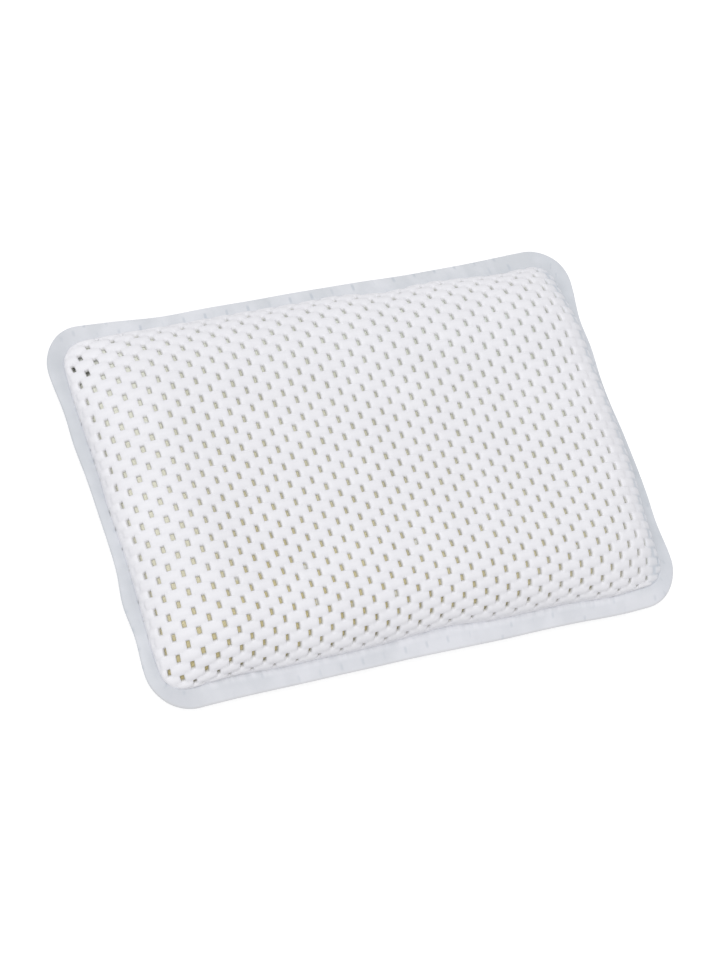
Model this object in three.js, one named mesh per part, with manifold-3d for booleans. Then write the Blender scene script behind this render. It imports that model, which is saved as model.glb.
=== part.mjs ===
// Bath pillow: a foam slab held between two covers of foamed mesh that are welded together
// along a flat border, with four push-in suction cups under the back cover.
// Millimetres, +Z up. X runs along the pillow, Y across it. The origin is on the surface that
// the suction cups stand on, under the middle of the pillow.
import * as THREE from "three";
import { mergeVertices } from "three/addons/utils/BufferGeometryUtils.js";
import Module from "manifold-3d";

const wasm = await Module();
wasm.setup();

// Driving sizes

const pillow = { length: 320, width: 212, cornerRadius: 23.5 };

const border = {
  width: 10.5, // from the weld line to the outer edge
  lap: 3.4, // how far it runs in under the covers' edges
  thickness: 1.6,
  sideDrawIn: 2.4, // how far the long edges are pulled in halfway along
  endDrawIn: 2.8, // the same for the short edges
};

const dome = {
  height: 25, // side walls, above the border
  crown: 1, // further rise in the middle
  endShoulder: 46, // how far in the short walls finish curving over
  sideShoulder: 41, // the same for the long walls
  power: 2.5, // 2 is a plain elliptical shoulder, more is squarer
};

const cover = {
  thickness: 2.8,
  periods: 14, // gaps along every other row; the real mesh has 23
  rows: 19, // rows of gaps; the real mesh has 42
  gapLengthShare: 0.2, // of the pitch along a row
  gapWidthShare: 0.72, // of the pitch from row to row
  brickSwell: 1.2, // how far a brick stands up between two gaps
};

const back = {
  thickness: 2.4,
  edgeThickness: 0.8, // pressed thin at the weld line
  rise: 1.6, // from the flat middle up to the border
  shoulder: 14, // width of the sloping band inside the weld line
};

const cup = {
  radius: 16,
  height: 6.4, // from the lip to the top of the boss
  hollow: 3.2,
  lipWidth: 1.6, // the flat ring that seals against the bath
  lipThickness: 0.9,
  bossRadius: 6,
  bossHeight: 1.4,
  neckRadius: 3,
  headRadius: 5.6,
  headRim: 0.9,
  headHeight: 3.8,
  headTipRadius: 1.8,
  insetX: 60, // from the pillow's end to the cup's middle
  insetY: 50, // from the pillow's long edge
};

const fit = {
  turning: 0.3, // around and along a cup's neck, so that it can swivel
  foam: 0.9, // between the foam and the covers
  resting: 0.3, // under the foam
};

const cutOverrun = 1; // how far a cutting tool runs past what it cuts

const finish = {
  foamedVinyl: { color: 0xf4f4f7, roughness: 0.62, metalness: 0 },
  weldedVinyl: { color: 0xd3dae2, roughness: 0.42, metalness: 0 },
  foam: { color: 0xcdbf8f, roughness: 0.95, metalness: 0 },
  clearVinyl: { color: 0xdfe6ea, roughness: 0.2, metalness: 0 },
};

// Facets

const cupSides = 24;
const pocketSides = 16;
const curveSteps = 4;
const cornerSteps = 6;
const longSideSteps = 16;
const shortSideSteps = 10;
const arcSamples = 400;
const slopeStepShare = 0.002; // of the pillow's width, for measuring slopes

// Levels and plan sizes worked out from the driving sizes

const halfLength = pillow.length / 2 - border.width; // to the weld line
const halfWidth = pillow.width / 2 - border.width;
const seamRadius = pillow.cornerRadius - border.width;
const backBottom = cup.height + fit.turning;
const backTop = backBottom + back.thickness;
const headBottom = backTop + fit.turning;
const headTop = headBottom + cup.headHeight;
const borderBottom = backTop + back.rise;
const borderTop = borderBottom + border.thickness;

// A rounded rectangle as a closed loop of points at height z. Every loop has as many points as
// any other, so that loops can be joined one to the next. drawX and drawY pull the middles of
// the sides in.
function roundedLoop(halfX, halfY, radius, z, drawX = 0, drawY = 0) {
  const straightX = halfX - radius;
  const straightY = halfY - radius;
  const points = [];
  const pull = (share) => (1 - share * share) ** 2;
  const corners = [
    [1, -1, -Math.PI / 2],
    [1, 1, 0],
    [-1, 1, Math.PI / 2],
    [-1, -1, Math.PI],
  ];
  corners.forEach(([signX, signY, start], c) => {
    for (let i = 0; i <= cornerSteps; i++) {
      const angle = start + ((Math.PI / 2) * i) / cornerSteps;
      points.push([
        signX * straightX + radius * Math.cos(angle),
        signY * straightY + radius * Math.sin(angle),
        z,
      ]);
    }
    const alongY = c % 2 === 0;
    const steps = alongY ? shortSideSteps : longSideSteps;
    for (let i = 1; i < steps; i++) {
      const share = (2 * i) / steps - 1;
      points.push(
        alongY
          ? [signX * (halfX - drawX * pull(share)), -signY * straightY * share, z]
          : [-signX * straightX * share, signY * (halfY - drawY * pull(share)), z],
      );
    }
  });
  return points;
}

// A closed surface made of loops, each joined to the next. The first and last are capped, or
// joined to each other if the body is a ring.
function loftLoops(loops, isRing = false) {
  const count = loops[0].length;
  const positions = loops.flat().flat();
  const index = [];
  const bands = isRing ? loops.length : loops.length - 1;
  for (let k = 0; k < bands; k++) {
    const here = k * count;
    const next = ((k + 1) % loops.length) * count;
    for (let i = 0; i < count; i++) {
      const j = (i + 1) % count;
      index.push(here + i, next + j, here + j, here + i, next + i, next + j);
    }
  }
  if (!isRing) {
    const cap = (loop, first, flip) => {
      const contour = loop.map(([x, y]) => new THREE.Vector2(x, y));
      for (const [a, b, c] of THREE.ShapeUtils.triangulateShape(contour, [])) {
        index.push(first + a, first + (flip ? c : b), first + (flip ? b : c));
      }
    };
    cap(loops[0], 0, false);
    cap(loops.at(-1), count * (loops.length - 1), true);
  }
  return bufferOf(positions, index);
}

function bufferOf(positions, index) {
  const geometry = new THREE.BufferGeometry();
  geometry.setAttribute("position", new THREE.Float32BufferAttribute(positions, 3));
  geometry.setIndex(index);
  return geometry;
}

// The domed surface

const shoulderRise = (inset, shoulder) =>
  (1 - Math.max(0, 1 - inset / shoulder) ** dome.power) ** (1 / dome.power);

// A point of the outer surface over (x, y) of the plain rectangle that the weld line is rounded
// from. Near a corner the rectangle's square is mapped to a quarter circle.
function domeSurface(x, y) {
  const rise =
    shoulderRise(halfLength - Math.abs(x), dome.endShoulder) *
    shoulderRise(halfWidth - Math.abs(y), dome.sideShoulder);
  const bulge = (1 - (x / halfLength) ** 2) * (1 - (y / halfWidth) ** 2);
  const [px, py] = roundCorner(x, y);
  return new THREE.Vector3(px, py, borderTop + dome.height * rise + dome.crown * bulge);
}

function roundCorner(x, y) {
  const u = Math.max(0, (Math.abs(x) - halfLength + seamRadius) / seamRadius);
  const v = Math.max(0, (Math.abs(y) - halfWidth + seamRadius) / seamRadius);
  if (u === 0 || v === 0) return [x, y];
  return [
    Math.sign(x) * (halfLength - seamRadius + seamRadius * u * Math.sqrt(1 - (v * v) / 2)),
    Math.sign(y) * (halfWidth - seamRadius + seamRadius * v * Math.sqrt(1 - (u * u) / 2)),
  ];
}

// The point that lies a given depth square to the outer surface under it, or over it if the
// depth is negative.
function underDome(x, y, depth) {
  const step = slopeStepShare * halfWidth;
  const within = (value, half) => THREE.MathUtils.clamp(value, -half, half);
  const at = (dx, dy) =>
    domeSurface(within(x + dx, halfLength), within(y + dy, halfWidth));
  const alongX = at(step, 0).sub(at(-step, 0));
  const alongY = at(0, step).sub(at(0, -step));
  const normal = alongX.cross(alongY).normalize();
  return domeSurface(x, y).addScaledVector(normal, -depth);
}

// Positions from -half to half that lie an even distance apart along the surface, as the mesh
// does, because it is stretched over the foam and not over the plan.
function evenSteps(half, steps, surface) {
  const positions = [];
  const lengths = [0];
  for (let i = 0; i <= arcSamples; i++) {
    const cosine = Math.cos((Math.PI * i) / arcSamples);
    positions.push(-half * cosine);
    if (i > 0) {
      const a = surface(positions[i - 1]);
      lengths.push(lengths[i - 1] + a.distanceTo(surface(positions[i])));
    }
  }
  const total = lengths.at(-1);
  const steady = [];
  let i = 0;
  for (let k = 0; k <= steps; k++) {
    const wanted = (total * k) / steps;
    while (i < arcSamples - 1 && lengths[i + 1] < wanted) i++;
    const share = (wanted - lengths[i]) / (lengths[i + 1] - lengths[i]);
    steady.push(THREE.MathUtils.lerp(positions[i], positions[i + 1], share));
  }
  return steady;
}

const meshColumns = evenSteps(halfLength, 2 * cover.periods, (x) => domeSurface(x, 0));
const meshRows = evenSteps(halfWidth, cover.rows, (y) => domeSurface(0, y));

// Reads a list of even steps at a place between two of them.
function between(steps, place) {
  const i = Math.min(Math.floor(place), steps.length - 2);
  return THREE.MathUtils.lerp(steps[i], steps[i + 1], place - i);
}

// The cells of the brick pattern, in half pitches along a row and in rows. Every second row is
// shifted by half a pitch and ends in two half cells with no gap.
function brickCells() {
  const cells = [];
  for (let row = 0; row < cover.rows; row++) {
    const shifted = row % 2;
    for (let c = shifted; c + 2 <= 2 * cover.periods; c += 2) {
      cells.push({ row, left: c, right: c + 2, hasGap: true });
    }
    if (shifted) {
      cells.push({ row, left: 0, right: 1, hasGap: false });
      cells.push({ row, left: 2 * cover.periods - 1, right: 2 * cover.periods, hasGap: false });
    }
  }
  return cells;
}

// The top cover: an outer and an inner skin of brick cells, joined through every gap and by a
// flat edge all round, which stands on the border.
function topCoverGeometry() {
  const lastColumn = 2 * cover.periods;
  const positions = [];
  const index = [];
  const known = new Map();
  const isOnSeam = (c, r) => c === 0 || c === lastColumn || r === 0 || r === cover.rows;

  const vertex = (c, r, skin) => {
    const key = `${skin}:${c.toFixed(3)}:${r.toFixed(3)}`;
    if (!known.has(key)) {
      known.set(key, positions.length / 3);
      positions.push(...place(c, r, skin).toArray());
    }
    return known.get(key);
  };

  const place = (c, r, skin) => {
    const x = between(meshColumns, c);
    const y = between(meshRows, r);
    if (isOnSeam(c, r)) return seamPoint(x, y, skin === "outer" ? 0 : cover.thickness);
    const isBrickMiddle = r % 1 !== 0 && c % 1 === 0;
    if (skin === "outer") return underDome(x, y, isBrickMiddle ? -cover.brickSwell : 0);
    return underDome(x, y, cover.thickness);
  };

  const addFace = (places, skin) => {
    const ids = places.map(([c, r]) => vertex(c, r, skin));
    index.push(...(skin === "outer" ? ids : ids.reverse()));
  };

  for (const cell of brickCells()) {
    const corners = cellCorners(cell);
    const gap = gapCorners(cell);
    for (const skin of ["outer", "inner"]) {
      const hasVertexAt = (c) => skin === "outer" || c === 0 || c === lastColumn;
      const middles = cellMiddles(cell, hasVertexAt);
      const faces = cell.hasGap ? facesRoundGap(corners, middles, gap) : plainFaces(corners, middles);
      for (const face of faces) addFace(face, skin);
    }
    if (cell.hasGap) {
      gap.forEach((here, k) => addWall(index, vertex, gap[(k + 1) % gap.length], here));
    }
  }

  const edge = seamPlaces();
  edge.forEach((here, k) => addWall(index, vertex, here, edge[(k + 1) % edge.length]));
  return bufferOf(positions, index);
}

// Corners and middles of a cell's four sides, anticlockwise from the lower left corner. A side
// that has no vertex in its middle gets null there.
function cellCorners({ row, left, right }) {
  return [[left, row], [right, row], [right, row + 1], [left, row + 1]];
}

function cellMiddles({ row, left, right, hasGap }, hasVertexAt) {
  const middle = (left + right) / 2;
  const centre = row + 0.5;
  return [
    hasGap ? [middle, row] : null,
    hasVertexAt(right) ? [right, centre] : null,
    hasGap ? [middle, row + 1] : null,
    hasVertexAt(left) ? [left, centre] : null,
  ];
}

function gapCorners({ row, left, right }) {
  const middle = (left + right) / 2;
  const centre = row + 0.5;
  const alongRow = cover.gapLengthShare; // half of the gap, in half pitches
  const acrossRow = cover.gapWidthShare / 2;
  return [
    [middle - alongRow, centre - acrossRow],
    [middle + alongRow, centre - acrossRow],
    [middle + alongRow, centre + acrossRow],
    [middle - alongRow, centre + acrossRow],
  ];
}

// Triangles between a cell's outline and its gap, alike on all four sides.
function facesRoundGap(corners, middles, gap) {
  const faces = [];
  corners.forEach((corner, k) => {
    const next = (k + 1) % corners.length;
    const before = middles.at(k - 1);
    const after = middles[k] ?? corners[next];
    if (before) faces.push([before, corner, gap[k]]);
    faces.push([corner, after, gap[k]], [after, gap[next], gap[k]]);
  });
  return faces;
}

function plainFaces(corners, middles) {
  const outline = corners.flatMap((corner, k) => (middles[k] ? [corner, middles[k]] : [corner]));
  const contour = outline.map(([c, r]) => new THREE.Vector2(c, r));
  const faces = THREE.ShapeUtils.triangulateShape(contour, []);
  return faces.map((face) => face.map((k) => outline[k]));
}

// Two triangles from the outer skin to the inner one, between two neighbouring places.
function addWall(index, vertex, from, to) {
  const [a, b] = [vertex(...from, "outer"), vertex(...to, "outer")];
  const [c, d] = [vertex(...from, "inner"), vertex(...to, "inner")];
  index.push(a, c, b, b, c, d);
}

// A point of the weld line, or the one that lies a given distance inside it, on the border.
function seamPoint(x, y, inset) {
  const [px, py] = roundCorner(x, y);
  const arcX = Math.max(0, Math.abs(px) - halfLength + seamRadius);
  const arcY = Math.max(0, Math.abs(py) - halfWidth + seamRadius);
  const away = Math.hypot(arcX, arcY);
  return new THREE.Vector3(
    px - (Math.sign(px) * arcX * inset) / away,
    py - (Math.sign(py) * arcY * inset) / away,
    borderTop,
  );
}

// The lattice places along the weld line, anticlockwise seen from above.
function seamPlaces() {
  const last = 2 * cover.periods;
  const places = [];
  const upSide = (column) => {
    const side = [];
    for (let r = 0; r < cover.rows; r++) {
      side.push([column, r], [column, r + 0.5]);
    }
    side.push([column, cover.rows]);
    return side;
  };
  for (let c = 0; c < last; c++) places.push([c, 0]);
  places.push(...upSide(last));
  for (let c = last - 1; c > 0; c--) places.push([c, cover.rows]);
  places.push(...upSide(0).reverse());
  return places;
}

// The welded border: a flat frame that runs in a little way under the covers' edges

function borderGeometry() {
  const outer = (z) =>
    roundedLoop(
      pillow.length / 2,
      pillow.width / 2,
      pillow.cornerRadius,
      z,
      border.endDrawIn,
      border.sideDrawIn,
    );
  const inner = (z) => insetLoop(border.lap, z);
  return loftLoops(
    [inner(borderTop), outer(borderTop), outer(borderBottom), inner(borderBottom)],
    true,
  );
}

// The back cover: a shallow dish under the border, with a hole for each cup's neck

function insetLoop(inset, z) {
  const radius = Math.max(seamRadius - inset, seamRadius / 4);
  return roundedLoop(halfLength - inset, halfWidth - inset, radius, z);
}

function backCoverGeometry() {
  const dish = loftLoops([
    insetLoop(back.shoulder, backTop),
    insetLoop(border.lap, borderBottom),
    insetLoop(0, borderBottom),
    insetLoop(0, borderBottom - back.edgeThickness),
    insetLoop(back.shoulder, backBottom),
  ]);
  const holeRadius = cup.neckRadius + fit.turning;
  return cutAtCups(dish, holeRadius, cupSides, backBottom - cutOverrun, backTop + cutOverrun);
}

// The foam core: follows the underside of the top cover, leans in to a flat bottom, and has a
// pocket for each cup's head

function coreGeometry() {
  const depth = cover.thickness + fit.foam;
  const columns = oddFromEdge(meshColumns);
  const rows = oddFromEdge(meshRows);
  const positions = [];
  const index = [];
  for (const y of rows) {
    for (const x of columns) positions.push(...underDome(x, y, depth).toArray());
  }
  const id = (i, j) => j * columns.length + i;
  const lastI = columns.length - 1;
  const lastJ = rows.length - 1;
  for (let j = 0; j < lastJ; j++) {
    for (let i = 0; i < lastI; i++) {
      const [a, b, c, d] = [id(i, j), id(i + 1, j), id(i + 1, j + 1), id(i, j + 1)];
      index.push(a, b, c, a, c, d);
    }
  }
  const rim = [];
  for (let i = 0; i < lastI; i++) rim.push(id(i, 0));
  for (let j = 0; j < lastJ; j++) rim.push(id(lastI, j));
  for (let i = lastI; i > 0; i--) rim.push(id(i, lastJ));
  for (let j = lastJ; j > 0; j--) rim.push(id(0, j));
  const bottomZ = backTop + fit.resting;
  const first = positions.length / 3;
  const midI = Math.floor(lastI / 2);
  const midJ = Math.floor(lastJ / 2);
  const scaleX = (halfLength - back.shoulder - fit.foam) / positions[3 * id(lastI, midJ)];
  const scaleY = (halfWidth - back.shoulder - fit.foam) / positions[3 * id(midI, lastJ) + 1];
  const contour = rim.map(
    (k) => new THREE.Vector2(positions[3 * k] * scaleX, positions[3 * k + 1] * scaleY),
  );
  for (const { x, y } of contour) positions.push(x, y, bottomZ);
  rim.forEach((k, i) => {
    const j = (i + 1) % rim.length;
    index.push(k, first + i, rim[j], rim[j], first + i, first + j);
  });
  for (const [a, b, c] of THREE.ShapeUtils.triangulateShape(contour, [])) {
    index.push(first + a, first + c, first + b);
  }
  const pocketRadius = cup.headRadius + fit.foam;
  const foam = bufferOf(positions, index);
  return cutAtCups(foam, pocketRadius, pocketSides, bottomZ - cutOverrun, headTop + fit.foam);
}

// Every second one of the steps, the same ones counted from either end.
function oddFromEdge(steps) {
  return steps.filter((_, i) => Math.min(i, steps.length - 1 - i) % 2 === 1);
}

// A suction cup: lip, bell and boss under the back cover, a neck through it and a head above

function cupGeometry() {
  const lipInner = cup.radius - cup.lipWidth;
  const bellTop = cup.height - cup.bossHeight;
  const profile = [];
  for (let i = 0; i < curveSteps; i++) {
    const share = i / curveSteps;
    profile.push([lipInner * share, cup.hollow * (1 - share * share)]);
  }
  profile.push([lipInner, 0], [cup.radius, 0]);
  const bell = new THREE.QuadraticBezierCurve(
    new THREE.Vector2(cup.radius, cup.lipThickness),
    new THREE.Vector2(cup.bossRadius, cup.hollow),
    new THREE.Vector2(cup.bossRadius, bellTop),
  );
  for (const point of bell.getPoints(curveSteps)) profile.push(point.toArray());
  profile.push(
    [cup.bossRadius, cup.height],
    [cup.neckRadius, cup.height],
    [cup.neckRadius, headBottom],
    [cup.headRadius, headBottom],
    [cup.headRadius, headBottom + cup.headRim],
    [cup.headTipRadius, headTop],
    [0, headTop],
  );
  return new THREE.LatheGeometry(
    profile.map(([r, z]) => new THREE.Vector2(r, z)),
    cupSides,
  ).rotateX(Math.PI / 2);
}

// Where the cups are: one towards each corner

function cupPlaces() {
  const places = [];
  for (const [end, x] of [["left", -1], ["right", 1]]) {
    for (const [side, y] of [["front", -1], ["rear", 1]]) {
      places.push({
        name: `suction_cup_${side}_${end}`,
        x: x * (pillow.length / 2 - cup.insetX),
        y: y * (pillow.width / 2 - cup.insetY),
      });
    }
  }
  return places;
}

// Cuts

function solidOf(geometry) {
  const bare = geometry.clone();
  bare.deleteAttribute("normal");
  bare.deleteAttribute("uv");
  const merged = mergeVertices(bare);
  return new wasm.Manifold(
    new wasm.Mesh({
      numProp: 3,
      vertProperties: merged.attributes.position.array,
      triVerts: new Uint32Array(merged.index.array),
    }),
  );
}

// Cuts an upright round hole at every cup, from one height to another.
function cutAtCups(geometry, radius, sides, fromZ, toZ) {
  const upright = new THREE.CylinderGeometry(radius, radius, toZ - fromZ, sides);
  const tool = solidOf(upright.rotateX(Math.PI / 2));
  let body = solidOf(geometry);
  for (const { x, y } of cupPlaces()) {
    body = body.subtract(tool.translate([x, y, (fromZ + toZ) / 2]));
  }
  const mesh = body.getMesh();
  return bufferOf([...mesh.vertProperties], [...mesh.triVerts]);
}

// The pillow

function addMesh(group, name, geometry, material) {
  geometry.computeVertexNormals();
  const mesh = new THREE.Mesh(geometry, material);
  mesh.name = name;
  group.add(mesh);
  return mesh;
}

function bathPillow() {
  const group = new THREE.Group();
  const material = Object.fromEntries(
    Object.entries(finish).map(([key, value]) => [key, new THREE.MeshStandardMaterial(value)]),
  );
  addMesh(group, "top_mesh_cover", topCoverGeometry(), material.foamedVinyl);
  addMesh(group, "welded_border", borderGeometry(), material.weldedVinyl);
  addMesh(group, "back_mesh_cover", backCoverGeometry(), material.foamedVinyl);
  addMesh(group, "foam_core", coreGeometry(), material.foam);
  for (const { name, x, y } of cupPlaces()) {
    addMesh(group, name, cupGeometry(), material.clearVinyl).position.set(x, y, 0);
  }
  return group;
}

export default bathPillow();
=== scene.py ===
import math

import bmesh
import bpy
import numpy as np
from mathutils import Matrix, Vector


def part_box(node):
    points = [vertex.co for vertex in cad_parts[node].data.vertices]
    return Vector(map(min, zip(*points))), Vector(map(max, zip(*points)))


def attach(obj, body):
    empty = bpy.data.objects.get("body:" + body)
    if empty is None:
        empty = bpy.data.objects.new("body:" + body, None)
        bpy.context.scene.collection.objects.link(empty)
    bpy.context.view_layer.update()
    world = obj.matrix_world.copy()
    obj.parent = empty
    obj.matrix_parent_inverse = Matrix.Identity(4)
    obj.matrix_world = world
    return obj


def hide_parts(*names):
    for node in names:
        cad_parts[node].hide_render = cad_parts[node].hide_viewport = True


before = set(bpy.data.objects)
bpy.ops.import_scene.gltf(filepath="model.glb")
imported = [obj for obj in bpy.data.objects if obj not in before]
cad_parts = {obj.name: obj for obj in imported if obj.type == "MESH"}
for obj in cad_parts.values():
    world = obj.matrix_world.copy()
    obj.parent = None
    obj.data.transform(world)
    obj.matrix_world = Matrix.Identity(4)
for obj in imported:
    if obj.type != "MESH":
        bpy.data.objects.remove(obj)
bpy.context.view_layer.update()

# shapes are reckoned in millimetres, with z from the seam, and meshes are in metres
mm = 0.001
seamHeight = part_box("welded_border")[1].z
backFloor, backCeiling = ((end.z - seamHeight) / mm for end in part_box("back_mesh_cover"))
print("frame loaded, seam at", round(seamHeight / mm, 2), "mm")


def addObject(name, data):
    made = bpy.data.objects.new(name, data)
    bpy.context.collection.objects.link(made)
    return made


# camera: its place comes from matching the rows of gaps in the photograph

view = {
    "focalPixels": 3297,
    "imageHeight": 960,
    "right": (0.86798, -0.31235, 0.38606),
    "down": (-0.17459, -0.91973, -0.3516),
    "forward": (0.46489, 0.23778, -0.85284),
    "offset": (6.0, -5.97, 1748.5),  # how far the seam's middle lies along these three
    "clip": (0.05, 30),
}


def makeCamera():
    data = bpy.data.cameras.new("photoCamera")
    camera = addObject("photoCamera", data)
    right, down, forward = (np.array(view[k]) for k in ("right", "down", "forward"))
    place = -np.stack([right, down, forward]).T @ np.array(view["offset"]) * mm
    place[2] += seamHeight
    turn = Matrix(np.stack([right, -down, -forward], 1).tolist()).to_4x4()
    camera.matrix_world = Matrix.Translation(place.tolist()) @ turn
    # the picture is taller than wide, so its height takes the whole sensor
    data.lens = view["focalPixels"] * data.sensor_width / view["imageHeight"]
    data.clip_start, data.clip_end = view["clip"]
    bpy.context.scene.camera = camera


makeCamera()
print("camera placed")


# dome: the surface that the stretched net lies on

dome = {
    "halfLength": 150.4,
    "halfWidth": 94.93,
    "height": 24.95,
    "crown": 0.5,
    # over what length each side rises, and how full it is: 2 is a quarter circle, more is fuller
    "left": (40.1, 2.16),
    "right": (44.9, 2.64),
    "near": (33.7, 2.14),
    "far": (44.5, 2.27),
    "cornerRadius": 11.8,
    "cornerFall": (0.92, 5),  # how much the corners are lowered, and how late that sets in
    "rightFoot": (0.4, 5),  # how much lower the foot is on the right, and over what length
    "rightEnd": (20, 12),  # how far in the right-hand end starts, and how soon it is reached
    "ripples": 6,
    "rippleAlong": (0.015, 0.05),  # radians in each millimetre, from and to
    "rippleAcross": (0.015, 0.06),
    "waviness": 0.35,
    "seed": 5,
    # how far the seam lies outside its plain outline, at twelve even stations on each side;
    # the pillow is gone round anticlockwise from its near left corner
    "waves": {
        "near": (-1, -2, -0.8, -0.7, -0.5, -1.4, -2.4, -0.3, 0.1, 0.1, 1.8, 0.7),
        "right": (0, -1, -1.1, 0.3, 0.9, 1.2, 1, 0.2, -0.1, 0.6, -1.2, -1.6),
        "far": (0.3, -1.5, -0.3, 0.3, -1.2, 1.5, 1.4, 1.4, 1.5, 1.2, 1.8, 2.4),
        "left": (1.6, 2, 1.9, 1.6, 1.4, 1.9, 1.5, 1.2, 1.6, 2.2, 2.8, 2.2),
    },
    "hold": 5,  # how sharply the waves die inwards
    "turn": 7,  # how late in a corner they go over from one side to the next
}


def smooth(share):
    share = np.clip(share, 0, 1)
    return share * share * (3 - 2 * share)


def shoulder(distance, length, fullness):
    rest = np.clip(1 - distance / length, 0, 1)
    return np.maximum(1 - rest**fullness, 0) ** (1 / fullness)


# the dome's two ways, each with its half size and its sides
lengthwise, crosswise = ("halfLength", "left", "right"), ("halfWidth", "near", "far")


def rise(place, way):
    half, low, high = way
    distance = dome[half] - np.abs(place)
    return np.where(place < 0, shoulder(distance, *dome[low]), shoulder(distance, *dome[high]))


def swell(place, way):
    return np.maximum(1 - (place / dome[way[0]]) ** 2, 0)


def atRight(x):
    # 0 on most of the dome and 1 at its right-hand end
    start, span = dome["rightEnd"]
    return smooth((x - dome["halfLength"] + start) / span)


def stationAt(x, y):
    # x and y as shares of the half sizes; gives 0 to 2 on the near side, then right, far and left
    reach = np.maximum(np.maximum(np.abs(x), np.abs(y)), 1e-9)
    acrossSide = np.abs(y) >= np.abs(x)
    onLong = np.where(y < 0, 1 + x / reach, 5 - x / reach)
    onShort = np.where(x > 0, 3 + y / reach, 7 - y / reach)
    return np.where(acrossSide, onLong, onShort), reach


def waveAt(station, waves):
    # a smooth closed curve through the values of the stations
    values = np.array([v for side in ("near", "right", "far", "left") for v in waves[side]])
    spot = station / 8 * len(values) - 0.5
    first = np.floor(spot).astype(int)
    t = spot - first
    p0, p1, p2, p3 = (values[(first + k) % len(values)] for k in (-1, 0, 1, 2))
    bend = 2 * p0 - 5 * p1 + 4 * p2 - p3
    return p1 + 0.5 * t * (p2 - p0 + t * (bend + t * (3 * (p1 - p2) + p3 - p0)))


def pushOut(x, y, shape):
    # moves places near the rim of the dome or the border outwards with its waves
    q, r = x / shape["halfLength"], y / shape["halfWidth"]
    station, reach = stationAt(q, r)
    outX, outY = (np.sign(part) * np.abs(part) ** shape["turn"] for part in (q, r))
    size = waveAt(station, shape["waves"]) * reach ** shape["hold"]
    size = size / np.maximum(np.hypot(outX, outY), 1e-9)
    return x + outX * size, y + outY * size


def seamPlan(x, y):
    # takes the net's plain rectangle onto the one with round corners and wavy sides
    a, b, radius = dome["halfLength"], dome["halfWidth"], dome["cornerRadius"]
    along = np.maximum((np.abs(x) - a + radius) / radius, 0)
    across = np.maximum((np.abs(y) - b + radius) / radius, 0)
    inCorner = (along > 0) & (across > 0)
    roundX = a - radius + radius * along * np.sqrt(1 - np.minimum(across, 1) ** 2 / 2)
    roundY = b - radius + radius * across * np.sqrt(1 - np.minimum(along, 1) ** 2 / 2)
    planX = np.where(inCorner, np.sign(x) * roundX, x)
    planY = np.where(inCorner, np.sign(y) * roundY, y)
    return pushOut(planX, planY, dome)


waveDraw = np.random.default_rng(dome["seed"])
domeRipples = [
    (
        waveDraw.uniform(*dome["rippleAlong"]),
        waveDraw.uniform(*dome["rippleAcross"]),
        waveDraw.uniform(0, 2 * math.pi),
    )
    for _ in range(dome["ripples"])
]


def domePoint(x, y):
    raised = rise(x, lengthwise) * rise(y, crosswise)
    z = dome["height"] * raised + dome["crown"] * swell(x, lengthwise) * swell(y, crosswise)
    fall, turn = dome["cornerFall"]
    z = z * (1 - fall * np.abs((x / dome["halfLength"]) * (y / dome["halfWidth"])) ** turn)
    ripple = sum(np.sin(kx * x + ky * y + start) for kx, ky, start in domeRipples)
    z = z + dome["waviness"] * raised * ripple / math.sqrt(len(domeRipples))
    lower, length = dome["rightFoot"]
    z = z * (1 - lower * np.exp(-np.maximum(dome["halfLength"] - x, 0) / length))
    return np.stack([*seamPlan(x, y), z], -1)


def domeNormal(x, y):
    reach = 0.3
    a, b = dome["halfLength"], dome["halfWidth"]
    alongStep = domePoint(np.minimum(x + reach, a), y) - domePoint(np.maximum(x - reach, -a), y)
    acrossStep = domePoint(x, np.minimum(y + reach, b)) - domePoint(x, np.maximum(y - reach, -b))
    normal = np.cross(alongStep, acrossStep)
    return normal / np.maximum(np.linalg.norm(normal, axis=-1, keepdims=True), 1e-9)


def domeSurface(x, y):
    return domePoint(x, y), domeNormal(x, y)


# net: a running brick pattern, laid over the dome by the length of cloth from the middle

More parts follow.
